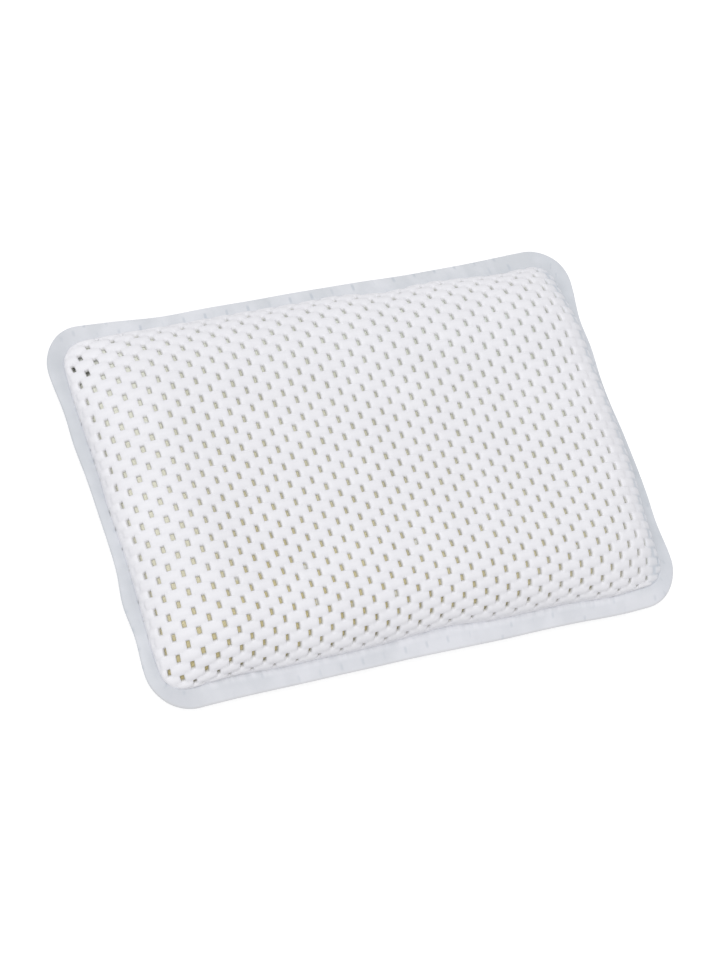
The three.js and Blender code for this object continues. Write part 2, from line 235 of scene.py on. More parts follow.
net = {
    "halfSteps": (-24, 31),  # from and to, in half gap pitches
    "rows": (-24, 28),
    "gapPitch": 13.147,  # between the middles of two gaps of a row
    "rowPitch": 4.88,
    "alongStart": 1.7457,  # gap pitches from the first gap to the middle of the dome
    "acrossStart": 1.3788,  # rows, in the same way
    "lean": 0.0049,
    # how the cloth was drawn out of true when it was stretched, most at its edges and corners:
    # shares of these spans, then the powers of both and how far
    "pullSpan": (163.2, -108.8),
    "pullAlong": (
        (1, 1, -0.066), (0, 2, 1.903), (2, 0, 2.293), (1, 2, 5.681), (3, 0, -1.595),
        (5, 0, 1.477), (1, 4, -6.705), (0, 3, -1.322), (2, 1, -0.043), (8, 0, -0.067),
        (5, 2, -2.806),
    ),
    "pullAcross": (
        (1, 1, -0.566), (2, 0, -0.293), (0, 2, 2.105), (2, 1, -4.083), (0, 3, -0.283),
        (0, 5, -4.496), (4, 1, 5.809), (3, 0, -1.484), (1, 2, 2.925),
    ),
    # a brick: lengths are shares of the gap pitch, widths shares of a row, heights millimetres
    "gapLength": 0.19,
    "besideGap": 0.055,  # from a gap's end to the next points of the brick
    "bulge": 0.03,  # how far a brick's side stands into the gap beside it
    "crest": 1.12,
    "groove": 0.4,
    "rim": 0.25,
    "endRound": (0.13, 2.4),  # the length over which an end rounds off, and how fully
    "cornerRound": (0.13, 2),
    "sideRound": (2.6, 0.6),
    "underside": 2,
    # down each gap: shares of its length and width, depth, and how much painted shade the wall
    # gets
    "levels": (
        (0.94, 0.9, -0.03, 0.05),
        (0.87, 0.78, -0.3, 0.4),
        (0.825, 0.69, -0.65, 0.8),
        (0.815, 0.65, -0.93, 1),
        (0.87, 0.71, -1, 1),
    ),
    "cornerPull": 0.965,  # rounds the corners of a gap
    "paintedLitWall": 0.5,  # the painted shade on the wall that faces the near side, as a share of the others', so that this wall looks lit
    # its edges: lengths are of cloth
    "edgeFade": 5.5,
    "rightRelief": 0.62,
    "overlap": 0.05,
    "closedWithin": 5,  # gaps this near the seam are fused shut
    "shrink": (4, 12, 0.15, 0.35),  # others shrink, from, over what length and by what shares
    "sealed": (11.75, 13.5),  # past this u, and within as many rows of the middle, they are too
    "sealedEnds": (-10.2, 12.2),  # and so are all those before or past these
    "haze": (16, 12, 1, 0.2),  # how far in it starts, its span, its share between and on bricks
    "foot": (0.08, 1.2, 0.6, 5),  # share and reach of the fused foot, and what haze adds to both
    "unevenHeight": 0.05,
    "unevenGap": (0.005, 0.011),  # the usual and the largest
    "unevenAcross": 2.5,
    "weldWithin": 0.03,
    "seed": 11,
    "knots": 81,  # that lengths of cloth are reckoned from
    "rounds": 3,  # of finding where the cloth comes to lie
}


def clothLengths(way, other, fixed):
    # lengths of cloth from the middle along one way, for fixed places on the other
    knots = dome[way[0]] * np.sin(np.linspace(-math.pi / 2, math.pi / 2, net["knots"]))
    heights = dome["height"] * np.outer(rise(fixed, other), rise(knots, way))
    heights = heights + dome["crown"] * np.outer(swell(fixed, other), swell(knots, way))
    steps = np.hypot(np.diff(heights, axis=1), np.diff(knots))
    lengths = np.concatenate([np.zeros((len(fixed), 1)), np.cumsum(steps, 1)], 1)
    return knots, lengths - lengths[:, [len(knots) // 2]], np.arange(len(fixed))


def placeAt(way, other, fixed, wanted):
    # the place that a length of cloth reaches, at most the seam, and the cloth left before it
    knots, lengths, row = clothLengths(way, other, fixed)
    cell = np.clip((lengths <= wanted[:, None]).sum(1) - 1, 0, len(knots) - 2)
    low, high = lengths[row, cell], lengths[row, cell + 1]
    share = np.clip((wanted - low) / np.maximum(high - low, 1e-9), 0, 1)
    left = np.minimum(lengths[:, -1] - wanted, wanted - lengths[:, 0])
    return knots[cell] + share * (knots[cell + 1] - knots[cell]), left


def lengthTo(way, other, fixed, given):
    # the length of cloth that reaches a place; past the seam the cloth goes on flat
    knots, lengths, row = clothLengths(way, other, fixed)
    inner = np.clip(given, knots[0], knots[-1])
    cell = np.clip(np.searchsorted(knots, inner) - 1, 0, len(knots) - 2)
    share = (inner - knots[cell]) / (knots[cell + 1] - knots[cell])
    length = lengths[row, cell] + share * (lengths[row, cell + 1] - lengths[row, cell])
    return length + given - inner


def netPull(along, across):
    x, y = (part / span for part, span in zip((along, across), net["pullSpan"]))
    pulledX, pulledY = (
        sum(size * x**i * y**j for i, j, size in net[name]) for name in ("pullAlong", "pullAcross")
    )
    return pulledX - net["lean"] * across, pulledY


def layNet(u, v):
    # u counts gap pitches and v rows; gives places on the dome, the cloth left before the
    # nearest seam, and that left before the near or far one
    along = (u - net["alongStart"]) * net["gapPitch"]
    across = (v - net["acrossStart"]) * net["rowPitch"]
    pulledX, pulledY = netPull(along, across)
    along, across = along + pulledX, across + pulledY
    y = np.clip(across, -dome["halfWidth"], dome["halfWidth"])
    for _ in range(net["rounds"]):
        x, leftAlong = placeAt(lengthwise, crosswise, y, along)
        y, leftAcross = placeAt(crosswise, lengthwise, x, across)
    return x, y, np.minimum(leftAlong, leftAcross), leftAcross


def clothCount(x, y):
    # the net's own u and v at places on the dome's rim and on the border
    a, b = dome["halfLength"], dome["halfWidth"]
    along = lengthTo(lengthwise, crosswise, np.clip(y, -b, b), x)
    across = lengthTo(crosswise, lengthwise, np.clip(x, -a, a), y)
    pulledX, pulledY = netPull(along, across)
    u = (along - pulledX) / net["gapPitch"] + net["alongStart"]
    v = (across - pulledY) / net["rowPitch"] + net["acrossStart"]
    return u, v


def newPiece(name, points, faces, body):
    mesh = bpy.data.meshes.new(name)
    mesh.from_pydata((np.asarray(points) * mm + [0, 0, seamHeight]).tolist(), [], faces)
    mesh.update()
    mesh.shade_smooth()
    piece = addObject(name, mesh)
    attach(piece, body)
    return piece


def noteOn(piece, name, numbers):
    # a number or a vector for each point, which the finishes read
    numbers = np.asarray(numbers, dtype=np.float32)
    kind, slot = ("FLOAT", "value") if numbers.ndim == 1 else ("FLOAT_VECTOR", "vector")
    piece.data.attributes.new(name, kind, "POINT").data.foreach_set(slot, numbers.ravel())


def tidyMesh(piece, weld):
    # joins the points that were pressed together on the seam, and drops what became nothing
    work = bmesh.new()
    work.from_mesh(piece.data)
    bmesh.ops.remove_doubles(work, verts=work.verts, dist=weld * mm)
    bmesh.ops.dissolve_degenerate(work, edges=work.edges, dist=weld * mm / 2)
    loose = [v for v in work.verts if not v.link_faces]
    bmesh.ops.delete(work, geom=loose, context="VERTS")
    work.to_mesh(piece.data)
    work.free()
    piece.data.shade_smooth()


def cellCorners(index):
    return [index[:-1, :-1], index[1:, :-1], index[1:, 1:], index[:-1, 1:]]


def belt(upper, lower):
    # faces between two closed loops of points
    return np.stack([upper, lower, np.roll(lower, -1), np.roll(upper, -1)], 1).tolist()


# each half step of the net has six columns of points, and each row four lines
columnsPer = 6
lineShares = np.array([-0.5, -0.3, 0, 0.3])
linesPer = len(lineShares)
# twelve points stand round each gap, anticlockwise from its near left corner
ringColumns = np.array([-1, 0, 1, 1, 1, 1, 1, 0, -1, -1, -1, -1])
ringLines = np.array([0, 0, 0, 1, 2, 3, 4, 4, 4, 3, 2, 1])
ringSize = len(ringColumns)
ringCorners = np.isin(np.arange(ringSize), (0, 2, 6, 8))
farWall = np.isin(np.arange(ringSize), (6, 7, 8))
# a brick's underside takes these from the gaps on its left, far, right and near sides
underParts = ((2, 3, 4, 5, 6), (0, 1, 2), (8, 9, 10, 11, 0), (6, 7, 8))


def roundedOff(distance, length, fullness):
    return 1 - (1 - np.clip(distance / length, 0, 1)) ** fullness


def brickPoints(lay, values):
    # the upper side of all bricks, a column at a time: u, v and height
    draw = np.random.default_rng(values["seed"])
    reach = values["gapLength"] / 2
    beside = reach + values["besideGap"]
    offsets = np.array([0, reach, beside, 0.25, 0.5 - beside, 0.5 - reach])
    (firstStep, endStep), (firstRow, endRow) = values["halfSteps"], values["rows"]
    steps, rows = endStep - firstStep, endRow - firstRow
    along, across = np.indices((steps * columnsPer, rows * linesPer))
    (k, column), (j, line) = np.divmod(along, columnsPer), np.divmod(across, linesPer)
    k, j = k + firstStep, j + firstRow
    u, v = k / 2 + offsets[column], j + lineShares[line]
    onGroove = line == 0

    # the three columns round every half step stand on a gap's edge
    nearest = np.where(column == columnsPer - 1, k + 1, k)
    atGap = (column <= 1) | (column == columnsPer - 1)
    inGapRow = (nearest + j) % 2 == 0
    v = v + np.where(onGroove & atGap, np.where(inGapRow, 1, -1) * values["bulge"], 0)

    # a brick swells between its two ends and across its row, and no two are quite as high
    gapBefore = np.where((k + j) % 2 == 0, k, k - 1)
    fromEnd = np.minimum(u - gapBefore / 2, gapBefore / 2 + 1 - u)
    fromCorner = np.minimum(offsets[column], 0.5 - offsets[column])
    fullness, steepness = values["sideRound"]
    sideShare = np.maximum(1 - np.abs(lineShares[line] * 2) ** fullness, 0) ** steepness
    rim, groove = values["rim"], values["groove"]
    level = groove + (values["crest"] - groove) * sideShare
    brickHeights = 1 + draw.normal(0, values["unevenHeight"], (steps + 2, rows + 2))
    level = level * np.where(onGroove, 1, brickHeights[gapBefore - firstStep + 1, j - firstRow])
    inGroove = rim + (groove - rim) * roundedOff(fromCorner - reach, *values["cornerRound"])
    onBrick = rim + (level - rim) * roundedOff(fromEnd - reach, *values["endRound"])
    height = np.where(onGroove, np.where(atGap, rim, inGroove), onBrick)

    # each gap is a little off its place and size, and smaller towards the near and far seams
    usual, most = values["unevenGap"]
    gapShift = np.clip(draw.normal(0, usual, (steps + 2, rows + 2, 3)), -most, most)
    gapRow = np.where(onGroove & ~inGapRow, j - 1, j)
    isEdge = atGap & (onGroove | inGapRow)
    shift = gapShift[nearest - firstStep, gapRow - firstRow + 1]
    side = np.sign(u - nearest / 2)
    u = u + np.where(isEdge, shift[..., 0] + side * shift[..., 1], 0)
    v = v + np.where(isEdge, shift[..., 2] * values["unevenAcross"], 0)
    shrinkFrom, shrinkSpan, shrinkLength, shrinkWidth = values["shrink"]
    leftAcross = lay(nearest.ravel() / 2, gapRow.ravel())[3].reshape(u.shape)
    shrunk = np.where(isEdge, 1 - smooth((leftAcross - shrinkFrom) / shrinkSpan), 0)
    u = u - (u - nearest / 2) * shrinkLength * shrunk
    v = v - (v - gapRow) * shrinkWidth * shrunk
    return u, v, height


def fusedShare(x, leftOver, crested, values):
    # the net runs into the weld over a short way, and on the right more gradually, with a haze
    # between its bricks
    start, span, between, onBricks = values["haze"]
    haze = smooth((x - dome["halfLength"] + start) / span) * between
    share, reach, hazyShare, hazyReach = values["foot"]
    foot = (share + hazyShare * haze) * (1 - smooth(leftOver / (reach + hazyReach * haze)))
    return np.maximum(foot, haze * (1 - (1 - onBricks) * crested))


def makeNet(name, lay, surface, values, turned=False):
    # a closed sheet of bricks; lay gives places, and surface their points and normals
    u, v, height = brickPoints(lay, values)
    index = np.arange(u.size).reshape(u.shape)
    (firstStep, endStep), (firstRow, endRow) = values["halfSteps"], values["rows"]
    gaps = {}
    for k in range(firstStep + 1, endStep - 1):
        for j in range(firstRow, endRow - 1):
            if (k + j) % 2 == 0:
                gaps[(k, j)] = len(gaps)
    starts = (np.array(list(gaps)) - [firstStep, firstRow]) * [columnsPer, linesPer]
    rings = index[starts[:, :1] + ringColumns, starts[:, 1:] + ringLines]

    # further rings go down through the thickness
    ringU, ringV = u.ravel()[rings], v.ravel()[rings]
    middleU, middleV = ringU.mean(1, keepdims=True), ringV.mean(1, keepdims=True)
    pull = np.where(ringCorners, values["cornerPull"], 1)
    wall = np.where(farWall, values["paintedLitWall"], 1)
    points, hollow = [(u.ravel(), v.ravel(), height.ravel())], [np.zeros(u.size)]
    for lengthShare, widthShare, depth, shade in values["levels"]:
        lowerU = middleU + (ringU - middleU) * pull * lengthShare
        lowerV = middleV + (ringV - middleV) * pull * widthShare
        lowerHeight = np.full(rings.size, depth * values["underside"])
        points.append((lowerU.ravel(), lowerV.ravel(), lowerHeight))
        # the lower rings take painted shade, darker further down each gap and lighter on the wall
        # that faces the near side
        hollow.append(np.tile(shade * wall, len(rings)))
    ringStarts = [u.size + n * rings.size for n in range(len(values["levels"]))]

    allU, allV, allHeights = (np.concatenate(part) for part in zip(*points))
    x, y, leftOver, _ = lay(allU, allV)
    place, normal = surface(x, y)
    fade = smooth(leftOver / values["edgeFade"])
    fade = fade * (1 - (1 - values["rightRelief"]) * atRight(x))
    place = place + normal * (allHeights * fade)[:, None]
    crested = (allHeights - values["rim"]) / (values["crest"] - values["rim"])

    # the upper side, open where a gap is
    inside = leftOver > -values["overlap"]
    gapU, gapV = middleU.ravel(), middleV.ravel()
    sealedFrom, sealedRows = values["sealed"]
    firstOpen, lastOpen = values["sealedEnds"]
    closed = lay(gapU, gapV)[2] < values["closedWithin"]
    closed |= (gapU > sealedFrom) & (np.abs(gapV) < sealedRows)
    closed |= (gapU < firstOpen) | (gapU > lastOpen)
    isOpen = np.zeros(index.shape, bool)
    for column, line in starts[~closed]:
        isOpen[column - 1 : column + 1, line : line + linesPer] = True
    cell = cellCorners(index)
    shown = ~isOpen[:-1, :-1] & np.any([inside[part] for part in cell], axis=0)
    shown[:columnsPer] = shown[-columnsPer:] = False
    faces = np.stack([part[shown] for part in cell], 1).tolist()

    # the walls of the gaps; where one is closed, the underside closes too
    for g in np.nonzero(inside[rings].any(1))[0]:
        loops = [rings[g]] + [start + g * ringSize + np.arange(ringSize) for start in ringStarts]
        if closed[g]:
            faces.append(loops[-1][::-1].tolist())
            continue
        for upper, lower in zip(loops, loops[1:]):
            for s in range(ringSize):
                t = (s + 1) % ringSize
                faces.append([int(n) for n in (upper[s], upper[t], lower[t], lower[s])])

    # the underside of each brick is one face between the rings round it
    for k, j in gaps:
        around = [(k, j), (k + 1, j + 1), (k + 2, j), (k + 1, j - 1)]
        if all(gap in gaps for gap in around):
            loop = [
                ringStarts[-1] + gaps[gap] * ringSize + s
                for gap, part in zip(around, underParts)
                for s in part
            ]
            if inside[loop].sum() > 2:
                faces.append(loop)

    if turned:
        faces = [face[::-1] for face in faces]
    piece = newPiece(name, place, faces, "pillow")
    # hollow carries the painted shade down the walls of the gaps
    noteOn(piece, "hollow", np.concatenate(hollow))
    noteOn(piece, "fused", fusedShare(x, leftOver, np.clip(crested, 0, 1), values))
    tidyMesh(piece, values["weldWithin"])
    return piece


topMeshCover = makeNet("topMeshCover", layNet, domeSurface, net)
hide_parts("top_mesh_cover")
print("top cover made,", len(topMeshCover.data.polygons), "faces")


# back: the same net, flat, with its relief facing down and a gap opened for each cup's stud

cups = {}
for nodeName in sorted(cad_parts):
    if nodeName.startswith("suction_cup_"):
        low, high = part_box(nodeName)
        cups[nodeName] = ((low.x + high.x) / 2 / mm, (low.y + high.y) / 2 / mm)
cupX, cupY = (max(part) for part in zip(*cups.values()))

# whole numbers of gaps and rows between the cups, so that each stud stands in a gap
gapsBetween, rowsBetween = 15, 24

back = dict(
    net,
    halfSteps=(-26, 27),
    rows=(-23, 24),
    gapPitch=2 * cupX / gapsBetween,
    rowPitch=2 * cupY / rowsBetween,
    alongStart=-0.5,
    crest=1.05,
    underside=1.15,
    paintedLitWall=1,
    edgeFade=4,
    rightRelief=1,
    closedWithin=4,
    shrink=(4, 14, 0, 0),
    sealed=(99, 0),  # none is, here or at the ends, and there is no haze
    sealedEnds=(-99, 99),
    haze=(1, 1, 0, 1),
    seed=23,
    shoulder=14,
    edgeHeight=-1.95,
    studOpening=3.35,
)


def layBack(u, v):
    along = (u - back["alongStart"]) * back["gapPitch"]
    across = v * back["rowPitch"]
    a, b = dome["halfLength"], dome["halfWidth"]
    leftAlong, leftAcross = a - np.abs(along), b - np.abs(across)
    left = np.minimum(leftAlong, leftAcross)
    return np.clip(along, -a, a), np.clip(across, -b, b), left, leftAcross


def backSurface(x, y):
    inward = np.minimum(dome["halfLength"] - np.abs(x), dome["halfWidth"] - np.abs(y))
    flat = smooth(inward / back["shoulder"])
    z = back["edgeHeight"] + (backFloor + back["crest"] - back["edgeHeight"]) * flat
    planX, planY = seamPlan(x, y)
    for middleX, middleY in cups.values():
        offX, offY = planX - middleX, planY - middleY
        distance = np.maximum(np.hypot(offX, offY), 1e-3)
        opened = (distance**3 + back["studOpening"] ** 3) ** (1 / 3) / distance
        planX, planY = middleX + offX * opened, middleY + offY * opened
    return np.stack([planX, planY, z], -1), np.array([[0.0, 0.0, -1.0]])


backMeshCover = makeNet("backMeshCover", layBack, backSurface, back, turned=True)
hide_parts("back_mesh_cover")
print("back cover made,", len(backMeshCover.data.polygons), "faces")


# foam: a domed slab under the net, short of the seam, with a hollow over each stud

foam = {
    "depth": 1.95,  # below the middle of the net
    "sideDepth": 2.3,  # the same near the foot of the dome and in its corners
    "contactRise": 0.7,  # the share of the dome's height at which foam and net come together
    "rightRise": 0.8,  # and how much higher it comes at the right-hand end
    "loose": (-146.5, 82, 6.9, 4),  # the corner where it has sunk: place, reach and depth
    "inset": 0.8,
    "undercut": 2.4,  # how much further in the underside stops
    "underside": 0.4,  # over the back net
    "steps": (150, 100),
    "evenShare": 0.35,  # how even these are; the rest of them crowd to the edges
    "hollowRadius": 9,
    "hollowEdge": 2.6,
    "hollowHeight": 1.7,
}


def makeFoam():
    a, b = dome["halfLength"] - foam["inset"], dome["halfWidth"] - foam["inset"]
    even = foam["evenShare"]
    s, t = (np.linspace(-1, 1, steps + 1) for steps in foam["steps"])
    s, t = (even * part + (1 - even) * np.sin(part * math.pi / 2) for part in (s, t))
    x, y = (part.ravel() for part in np.meshgrid(s * a, t * b, indexing="ij"))
    closeness = smooth(rise(x, lengthwise) * rise(y, crosswise) / foam["contactRise"])
    depth = foam["sideDepth"] + (foam["depth"] - foam["sideDepth"]) * closeness
    depth = depth - foam["rightRise"] * atRight(x)
    looseX, looseY, reach, looseDepth = foam["loose"]
    depth = depth + looseDepth * np.exp(-((x - looseX) ** 2 + (y - looseY) ** 2) / reach**2)
    top = domePoint(x, y) - domeNormal(x, y) * depth[:, None]

    under = domePoint(x * (1 - foam["undercut"] / a), y * (1 - foam["undercut"] / b))
    base = backCeiling + foam["underside"]
    under[:, 2] = base
    for middleX, middleY in cups.values():
        distance = np.hypot(under[:, 0] - middleX, under[:, 1] - middleY)
        hollow = smooth((foam["hollowRadius"] - distance) / foam["hollowEdge"])
        under[:, 2] += (foam["hollowHeight"] - base) * hollow

    index = np.arange(x.size).reshape(len(s), len(t))
    quads = np.stack(cellCorners(index), -1).reshape(-1, 4)
    rim = np.concatenate([index[:, 0], index[-1, 1:], index[-2::-1, -1], index[0, -2:0:-1]])
    faces = quads.tolist() + (quads[:, ::-1] + x.size).tolist() + belt(rim, rim + x.size)
    return newPiece("foamCore", np.concatenate([top, under]), faces, "pillow")


foamCore = makeFoam()
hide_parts("foam_core")
print("foam core made")


# border: the flat welded rim, drawn in between its corners and a little wavy

border = {
    "halfLength": 160,
    "halfWidth": 106.3,
    "cornerRadius": 23.5,
    "drawIn": {"near": 1.9, "right": 2.7, "far": 2.8, "left": 2.7},
    "thickness": 1.4,
    "thinning": 0.25,  # how much of that is gone at the rim
    "tuck": (2, 0.08),  # how far it reaches in under the net, and its depth there as a share
    "droop": (1.9, 1.6),  # how far the rim hangs, and how late it bends down
    "ripple": (0.2, 1.5),
    "rippleCounts": (3, 5, 8, 11, 17, 23),
    "rippleSizes": (0.4, 1),
    "weld": (0.15, 0.1, 0.06),  # a low ridge beside the net: its height, and place and width
    # the section: shares of the way from seam to rim on top, shares with depths round the rim,
    # and shares underneath
    "upper": (0, 0.05, 0.1, 0.15, 0.2, 0.3, 0.45, 0.6, 0.75, 0.88, 0.95),
    "rounded": ((0.985, 0.12), (1, 0.4), (0.995, 0.72), (0.97, 0.95)),
    "lower": (0.9, 0.7, 0.4, 0.1),
    "sideSteps": (190, 120),
    "cornerSteps": 22,
    "bandWidth": 0.002,
    "seed": 3,
    "waves": {
        "near": (-1.6, -2, -1.4, -0.7, -0.1, 0.2, 0.7, 0.9, 0.4, 0.3, 0.9, 0),
        "right": (-0.2, 0.4, -0.1, 1.2, 2, 1.6, 0.2, -0.5, -0.6, -2, -0.1, 1.3),
        "far": (0.6, -0.3, -0.3, 0.3, 1.4, 1.9, 1.9, 1.2, 0.4, -0.8, 0.4, 1.1),
        "left": (0.6, -0.1, -1, 0, 0, 0.1, -0.1, -0.1, 1.1, -0.7, -0.1, -0.9),
    },
    "hold": 1,
    "turn": 7,
}


def rimLoop(shape, drawIn):
    # anticlockwise from the left end of the near side
    points, radius = [], shape["cornerRadius"]
    for turn, side in enumerate(("near", "right", "far", "left")):
        along, across = shape["halfLength"], shape["halfWidth"]
        if turn % 2:
            along, across = across, along
        s = np.linspace(-1, 1, border["sideSteps"][turn % 2], endpoint=False)
        inward = drawIn.get(side, 0) * (1 - s * s) ** 2
        straight = np.stack([s * (along - radius), -across + inward], 1)
        angle = np.linspace(0, math.pi / 2, border["cornerSteps"], endpoint=False)
        bendX, bendY = along - radius + radius * np.sin(angle), radius - radius * np.cos(angle)
        part = np.concatenate([straight, np.stack([bendX, -across + bendY], 1)])
        for _ in range(turn):
            part = np.stack([-part[:, 1], part[:, 0]], 1)
        points.append(part)
    return np.stack(pushOut(*np.concatenate(points).T, shape), 1)


def makeBorder():
    seam = rimLoop(dome, {})
    across = rimLoop(border, border["drawIn"]) - seam
    width = np.linalg.norm(across, axis=1, keepdims=True)
    way = np.linspace(0, 2 * math.pi, len(seam), endpoint=False)
    draw = np.random.default_rng(border["seed"])
    wave = sum(
        np.sin(count * way + draw.uniform(0, 2 * math.pi)) * draw.uniform(*border["rippleSizes"])
        for count in border["rippleCounts"]
    )

    # the first and the last row are tucked in under the net
    tuck, tuckDepth = border["tuck"]
    section = [(0, tuckDepth)] + [(share, 0) for share in border["upper"]]
    section += [*border["rounded"], *((share, 1) for share in border["lower"]), (0, 1)]
    droop, droopTurn = border["droop"]
    ripple, rippleTurn = border["ripple"]
    weld, weldAt, weldWidth = border["weld"]
    loops = []
    for n, (share, depth) in enumerate(section):
        reach = -tuck / width if n in (0, len(section) - 1) else share
        z = -droop * share**droopTurn + ripple * wave * share**rippleTurn
        if depth == 0:
            z = z + weld * math.exp(-(((share - weldAt) / weldWidth) ** 2))
        z = z - border["thickness"] * (1 - border["thinning"] * share) * depth
        loops.append(np.concatenate([seam + across * reach, z[:, None]], 1))
    points = np.concatenate(loops)
    index = np.arange(len(points)).reshape(len(loops), -1)
    faces = []
    for upper, lower in zip(index, np.roll(index, -1, 0)):
        faces += belt(upper, lower)
    piece = newPiece("weldedBorder", points, faces, "pillow")

    # for the finish: the net's rows, and places round and across the rim
    u, v = clothCount(points[:, 0], points[:, 1])
    noteOn(piece, "netPlace", np.stack([u, v, np.zeros_like(u)], 1))
    girth = np.linalg.norm(np.diff(seam, axis=0, append=seam[:1]), axis=1).cumsum()
    turn = np.tile(girth / girth[-1] * 2 * math.pi, len(loops))
    radius = girth[-1] / 2 / math.pi * mm
    share = np.repeat([share for share, depth in section], len(seam))
    rim = [radius * np.cos(turn), radius * np.sin(turn), share * border["bandWidth"]]
    noteOn(piece, "rimPlace", np.stack(rim, 1))
    noteOn(piece, "acrossRim", share)
    return piece


weldedBorder = makeBorder()
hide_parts("welded_border")
print("welded border made")


# suction cups: turned shapes, each with a bell, a boss and a stud with a pointed head

cup = {
    "radius": 16,
    "hollow": 3.2,
    "lipInner": 14.4,
    "lipThickness": 0.9,
    "bossRadius": 6,
    "bellTop": 5,
    "bossTop": 6.4,
    "neckRadius": 3,
    "headBottom": 9.4,
    "headRadius": 5.6,
    "headRim": 0.9,
    "headTop": 13.2,
    "tipRadius": 1.8,
    "round": 0.3,
    "curveSteps": 14,
    "sides": 72,
}


def cupProfile():
    c, r = cup, cup["round"]
    boss, neck, head, tip = (c[part + "Radius"] for part in ("boss", "neck", "head", "tip"))
    bossTop, bottom, top = c["bossTop"], c["headBottom"], c["headTop"]
    shares = np.linspace(0, 1, c["curveSteps"])
    line = [(c["lipInner"] * s, c["hollow"] * (1 - s * s)) for s in shares]
    line += [(c["radius"] - r, 0), (c["radius"], r)]
    for s in shares:
        start, middle, end = (1 - s) ** 2, 2 * s * (1 - s), s * s
        z = start * c["lipThickness"] + middle * c["hollow"] + end * c["bellTop"]
        line.append((start * c["radius"] + (middle + end) * boss, z))
    line += [(boss, bossTop - r), (boss - r, bossTop), (neck + r, bossTop), (neck, bossTop + r)]
    line += [(neck, bottom - r / 2), (neck + r / 2, bottom), (head - r, bottom)]
    line += [(head, bottom + r), (head, bottom + c["headRim"])]
    return [*line, (tip + r, top - r), (tip - r, top), (0, top)]


def makeCup(nodeName, middleX, middleY):
    line = cupProfile()
    ground = -seamHeight / mm
    sides = cup["sides"]
    angles = [i * 2 * math.pi / sides for i in range(sides)]
    turns = [(math.cos(angle), math.sin(angle)) for angle in angles]
    points, faces = [(middleX, middleY, line[0][1] + ground)], []
    for r, z in line[1:-1]:
        points += [(middleX + r * east, middleY + r * north, z + ground) for east, north in turns]
    points.append((middleX, middleY, line[-1][1] + ground))
    last = len(points) - 1
    for i in range(sides):
        k = (i + 1) % sides
        faces.append((0, 1 + k, 1 + i))
        for ring in range(len(line) - 3):
            low, high = 1 + ring * sides, 1 + (ring + 1) * sides
            faces.append((low + i, low + k, high + k, high + i))
        faces.append((last - sides + i, last - sides + k, last))
    end, side = nodeName.split("_")[2:]
    name = "suctionCup" + end.title() + side.title()
    piece = newPiece(name, points, faces, end + "_" + side + "_cup")
    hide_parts(nodeName)
    return piece


cupPieces = [makeCup(nodeName, x, y) for nodeName, (x, y) in cups.items()]
print(len(cupPieces), "suction cups made")


# finishes

def feed(tree, socket, value):
    # a socket takes a number, a colour or what another node gives
    if isinstance(value, bpy.types.NodeSocket):
        tree.links.new(value, socket)
    else:
        socket.default_value = (*value, 1) if isinstance(value, tuple) else value


def addNode(tree, kind, inputs=(), **settings):
    # inputs are sockets, by name or number, and what each takes
    made = tree.nodes.new("ShaderNode" + kind)
    for name, value in settings.items():
        setattr(made, name, value)
    for name, value in dict(inputs).items():
        feed(tree, made.inputs[name], value)
    return made


def addMath(tree, operation, *values):
    return addNode(tree, "Math", enumerate(values), operation=operation).outputs[0]


def product(tree, first, *others):
    for other in others:
        first = addMath(tree, "MULTIPLY", first, other)
    return first


def addNoise(tree, place, scale, detail, roughness=0.5):
    inputs = {"Vector": place, "Scale": scale, "Detail": detail, "Roughness": roughness}
    return addNode(tree, "TexNoise", inputs).outputs["Fac"]


def swung(tree, noise, size, base):
    # a noise swings about its middle, on a base
    return addMath(tree, "MULTIPLY_ADD", addMath(tree, "SUBTRACT", noise, 0.5), size, base)


def spanned(tree, value, *span):
    # a span is from, to, and what each of these two becomes
    span = dict(zip(("From Min", "From Max", "To Min", "To Max"), span))
    return addNode(tree, "MapRange", {"Value": value, **span}).outputs["Result"]


def mixed(tree, share, below, above):
    inputs = {"Factor": share, "A": below, "B": above}
    return addNode(tree, "Mix", inputs, data_type="RGBA").outputs["Result"]


def layered(tree, colour, layers, over):
    # a layer is its colour and spans, over places or masks, whose product is its share
    for above, *spans in layers:
        shares = [spanned(tree, over[name], *span) for name, *span in spans]
        colour = mixed(tree, product(tree, *shares), colour, above)
    return colour


def noted(tree, name, output="Fac"):
    return addNode(tree, "Attribute", attribute_name=name).outputs[output]


def objectPlace(tree):
    return addNode(tree, "TexCoord").outputs["Object"]


def parted(tree, vector):
    made = addNode(tree, "SeparateXYZ", {"Vector": vector})
    return made.outputs["X"], made.outputs["Y"]


grain = {
    "patches": (38, 3),  # scale and detail
    "specks": (4, 0.65),  # detail and roughness
    "speckShare": 0.35,
    "pitShare": 0.6,
}


def makeGrainGroup():
    # uneven tone and a fine pitted grain, for every vinyl and the foam
    group = bpy.data.node_groups.new("grain", "ShaderNodeTree")
    for name, kind, way in (
        ("Place", "Vector", "INPUT"),
        ("Fineness", "Float", "INPUT"),
        ("Patchiness", "Float", "INPUT"),
        ("Tone", "Float", "OUTPUT"),
        ("Relief", "Float", "OUTPUT"),
    ):
        group.interface.new_socket(name, in_out=way, socket_type="NodeSocket" + kind)
    start, end = group.nodes.new("NodeGroupInput"), group.nodes.new("NodeGroupOutput")
    place, fineness, patchiness = start.outputs[:3]
    patches = addNoise(group, place, *grain["patches"])
    specks = addNoise(group, place, fineness, *grain["specks"])
    inputs = {"Vector": place, "Scale": fineness}
    pits = addNode(group, "TexVoronoi", inputs, feature="SMOOTH_F1").outputs["Distance"]
    tone = swung(group, specks, grain["speckShare"], swung(group, patches, patchiness, 0.5))
    relief = addMath(group, "MULTIPLY_ADD", pits, grain["pitShare"], specks)
    feed(group, end.inputs["Tone"], tone)
    feed(group, end.inputs["Relief"], relief)
    return group


grainGroup = makeGrainGroup()


